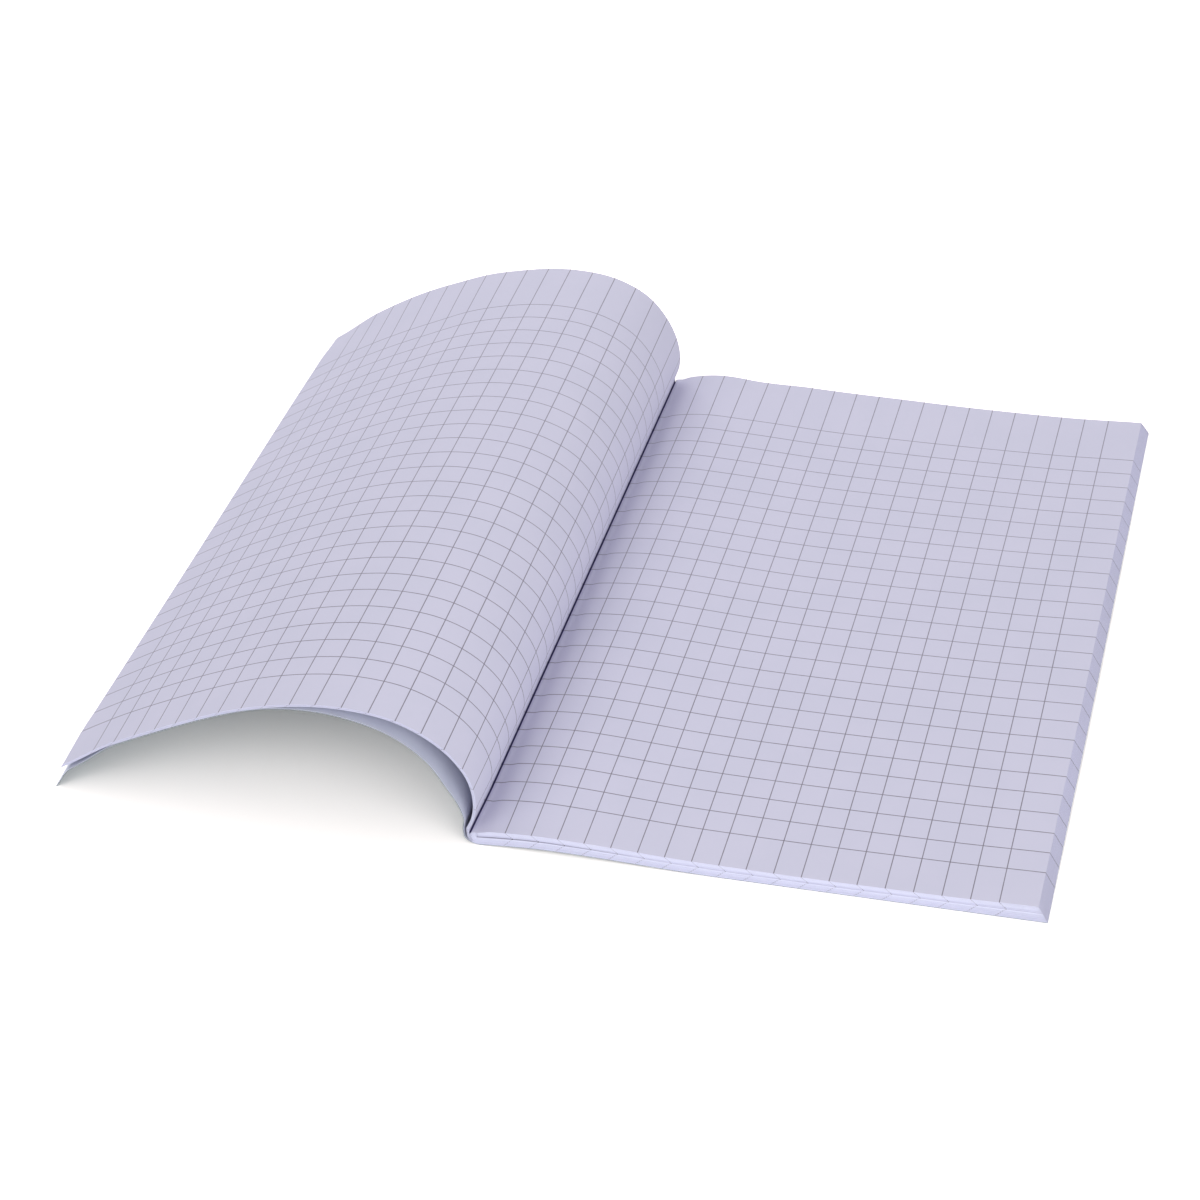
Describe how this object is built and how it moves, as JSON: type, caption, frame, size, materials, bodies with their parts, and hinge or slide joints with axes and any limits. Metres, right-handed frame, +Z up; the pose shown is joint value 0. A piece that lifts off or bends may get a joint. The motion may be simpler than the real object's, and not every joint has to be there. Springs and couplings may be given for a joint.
{
  "type": "notebook",
  "caption": "Open stapled notebook with a soft card cover and squared pages, its first leaves arched over beside the flat block.",
  "frame": {"origin": "middle of the open book's bounding box, on the table it lies on", "axes": "+X across the pages from the arched front leaves to the block's outer edge, +Y along the spine from foot to head, +Z up"},
  "size_m": [0.3799, 0.297, 0.0599],
  "materials": {
    "page_paper": "uncoated writing paper with a pale violet cast",
    "cover_card": "thin uncoated card, slate teal outside and pale inside",
    "staple_steel": "bright drawn wire"
  },
  "bodies": {
    "back_half": {"back_cover": "cover_card", "sheet_01_back_leaf": "page_paper", "sheet_02_back_leaf": "page_paper", "sheet_03_back_leaf": "page_paper", "sheet_04_back_leaf": "page_paper", "sheet_05_back_leaf": "page_paper", "sheet_06_back_leaf": "page_paper", "sheet_07_back_leaf": "page_paper", "sheet_08_back_leaf": "page_paper", "sheet_09_back_leaf": "page_paper", "sheet_10_back_leaf": "page_paper", "sheet_11_back_leaf": "page_paper", "sheet_12_back_leaf": "page_paper", "sheet_13_back_leaf": "page_paper", "sheet_14_back_leaf": "page_paper", "sheet_15_back_leaf": "page_paper", "sheet_16_back_leaf": "page_paper", "sheet_17_back_leaf": "page_paper", "sheet_18_back_leaf": "page_paper", "sheet_19_back_leaf": "page_paper", "sheet_20_back_leaf": "page_paper", "staple_foot": "staple_steel", "staple_head": "staple_steel"},
    "front_cover": {"front_cover": "cover_card"},
    "leaf_01": {"sheet_01_front_leaf": "page_paper"},
    "leaf_02": {"sheet_02_front_leaf": "page_paper"},
    "leaf_03": {"sheet_03_front_leaf": "page_paper"},
    "leaf_04": {"sheet_04_front_leaf": "page_paper"},
    "leaf_05": {"sheet_05_front_leaf": "page_paper"},
    "leaf_06": {"sheet_06_front_leaf": "page_paper"},
    "leaf_07": {"sheet_07_front_leaf": "page_paper"},
    "leaf_08": {"sheet_08_front_leaf": "page_paper"},
    "leaf_09": {"sheet_09_front_leaf": "page_paper"},
    "leaf_10": {"sheet_10_front_leaf": "page_paper"},
    "leaf_11": {"sheet_11_front_leaf": "page_paper"},
    "leaf_12": {"sheet_12_front_leaf": "page_paper"},
    "leaf_13": {"sheet_13_front_leaf": "page_paper"},
    "leaf_14": {"sheet_14_front_leaf": "page_paper"},
    "leaf_15": {"sheet_15_front_leaf": "page_paper"},
    "leaf_16": {"sheet_16_front_leaf": "page_paper"},
    "leaf_17": {"sheet_17_front_leaf": "page_paper"},
    "leaf_18": {"sheet_18_front_leaf": "page_paper"},
    "leaf_19": {"sheet_19_front_leaf": "page_paper"},
    "leaf_20": {"sheet_20_front_leaf": "page_paper"}
  },
  "joints": [
    {"name": "front_cover_fold", "type": "hinge", "parent": "back_half", "child": "front_cover", "pos_m": [-0.0201, 0, 0.0073], "axis": [0, 1, 0], "range_deg": [0, 20]},
    {"name": "leaf_01_turn", "type": "hinge", "parent": "front_cover", "child": "leaf_01", "pos_m": [-0.0201, 0, 0.0073], "axis": [0, 1, 0], "range_deg": [0, 1.6]},
    {"name": "leaf_02_turn", "type": "hinge", "parent": "front_cover", "child": "leaf_02", "pos_m": [-0.0201, 0, 0.0073], "axis": [0, 1, 0], "range_deg": [0, 3.2]},
    {"name": "leaf_03_turn", "type": "hinge", "parent": "front_cover", "child": "leaf_03", "pos_m": [-0.0201, 0, 0.0073], "axis": [0, 1, 0], "range_deg": [0, 4.8]},
    {"name": "leaf_04_turn", "type": "hinge", "parent": "front_cover", "child": "leaf_04", "pos_m": [-0.0201, 0, 0.0073], "axis": [0, 1, 0], "range_deg": [0, 6.4]},
    {"name": "leaf_05_turn", "type": "hinge", "parent": "front_cover", "child": "leaf_05", "pos_m": [-0.0201, 0, 0.0073], "axis": [0, 1, 0], "range_deg": [0, 8]},
    {"name": "leaf_06_turn", "type": "hinge", "parent": "back_half", "child": "leaf_06", "pos_m": [-0.01735, 0, 0.00717], "axis": [0, -1, 0], "range_deg": [0, 45]},
    {"name": "leaf_07_turn", "type": "hinge", "parent": "back_half", "child": "leaf_07", "pos_m": [-0.01735, 0, 0.007], "axis": [0, -1, 0], "range_deg": [0, 42]},
    {"name": "leaf_08_turn", "type": "hinge", "parent": "back_half", "child": "leaf_08", "pos_m": [-0.01735, 0, 0.00683], "axis": [0, -1, 0], "range_deg": [0, 39]},
    {"name": "leaf_09_turn", "type": "hinge", "parent": "back_half", "child": "leaf_09", "pos_m": [-0.01735, 0, 0.00666], "axis": [0, -1, 0], "range_deg": [0, 36]},
    {"name": "leaf_10_turn", "type": "hinge", "parent": "back_half", "child": "leaf_10", "pos_m": [-0.01735, 0, 0.00649], "axis": [0, -1, 0], "range_deg": [0, 33]},
    {"name": "leaf_11_turn", "type": "hinge", "parent": "back_half", "child": "leaf_11", "pos_m": [-0.01735, 0, 0.00632], "axis": [0, -1, 0], "range_deg": [0, 30]},
    {"name": "leaf_12_turn", "type": "hinge", "parent": "back_half", "child": "leaf_12", "pos_m": [-0.01735, 0, 0.00615], "axis": [0, -1, 0], "range_deg": [0, 27]},
    {"name": "leaf_13_turn", "type": "hinge", "parent": "back_half", "child": "leaf_13", "pos_m": [-0.01735, 0, 0.00598], "axis": [0, -1, 0], "range_deg": [0, 24]},
    {"name": "leaf_14_turn", "type": "hinge", "parent": "back_half", "child": "leaf_14", "pos_m": [-0.01735, 0, 0.00581], "axis": [0, -1, 0], "range_deg": [0, 21]},
    {"name": "leaf_15_turn", "type": "hinge", "parent": "back_half", "child": "leaf_15", "pos_m": [-0.01735, 0, 0.00564], "axis": [0, -1, 0], "range_deg": [0, 18]},
    {"name": "leaf_16_turn", "type": "hinge", "parent": "back_half", "child": "leaf_16", "pos_m": [-0.01735, 0, 0.00547], "axis": [0, -1, 0], "range_deg": [0, 15]},
    {"name": "leaf_17_turn", "type": "hinge", "parent": "back_half", "child": "leaf_17", "pos_m": [-0.01735, 0, 0.0053], "axis": [0, -1, 0], "range_deg": [0, 12]},
    {"name": "leaf_18_turn", "type": "hinge", "parent": "back_half", "child": "leaf_18", "pos_m": [-0.01735, 0, 0.00513], "axis": [0, -1, 0], "range_deg": [0, 9]},
    {"name": "leaf_19_turn", "type": "hinge", "parent": "back_half", "child": "leaf_19", "pos_m": [-0.01735, 0, 0.00496], "axis": [0, -1, 0], "range_deg": [0, 6]},
    {"name": "leaf_20_turn", "type": "hinge", "parent": "back_half", "child": "leaf_20", "pos_m": [-0.01735, 0, 0.00479], "axis": [0, -1, 0], "range_deg": [0, 3]}
  ],
  "couplings": [
    {"joint": "leaf_01_turn", "follows": "leaf_05_turn", "ratio": 0.2},
    {"joint": "leaf_02_turn", "follows": "leaf_05_turn", "ratio": 0.4},
    {"joint": "leaf_03_turn", "follows": "leaf_05_turn", "ratio": 0.6},
    {"joint": "leaf_04_turn", "follows": "leaf_05_turn", "ratio": 0.8},
    {"joint": "leaf_07_turn", "follows": "leaf_06_turn", "ratio": 0.93333},
    {"joint": "leaf_08_turn", "follows": "leaf_06_turn", "ratio": 0.86667},
    {"joint": "leaf_09_turn", "follows": "leaf_06_turn", "ratio": 0.8},
    {"joint": "leaf_10_turn", "follows": "leaf_06_turn", "ratio": 0.73333},
    {"joint": "leaf_11_turn", "follows": "leaf_06_turn", "ratio": 0.66667},
    {"joint": "leaf_12_turn", "follows": "leaf_06_turn", "ratio": 0.6},
    {"joint": "leaf_13_turn", "follows": "leaf_06_turn", "ratio": 0.53333},
    {"joint": "leaf_14_turn", "follows": "leaf_06_turn", "ratio": 0.46667},
    {"joint": "leaf_15_turn", "follows": "leaf_06_turn", "ratio": 0.4},
    {"joint": "leaf_16_turn", "follows": "leaf_06_turn", "ratio": 0.33333},
    {"joint": "leaf_17_turn", "follows": "leaf_06_turn", "ratio": 0.26667},
    {"joint": "leaf_18_turn", "follows": "leaf_06_turn", "ratio": 0.2},
    {"joint": "leaf_19_turn", "follows": "leaf_06_turn", "ratio": 0.13333},
    {"joint": "leaf_20_turn", "follows": "leaf_06_turn", "ratio": 0.066666}
  ]
}
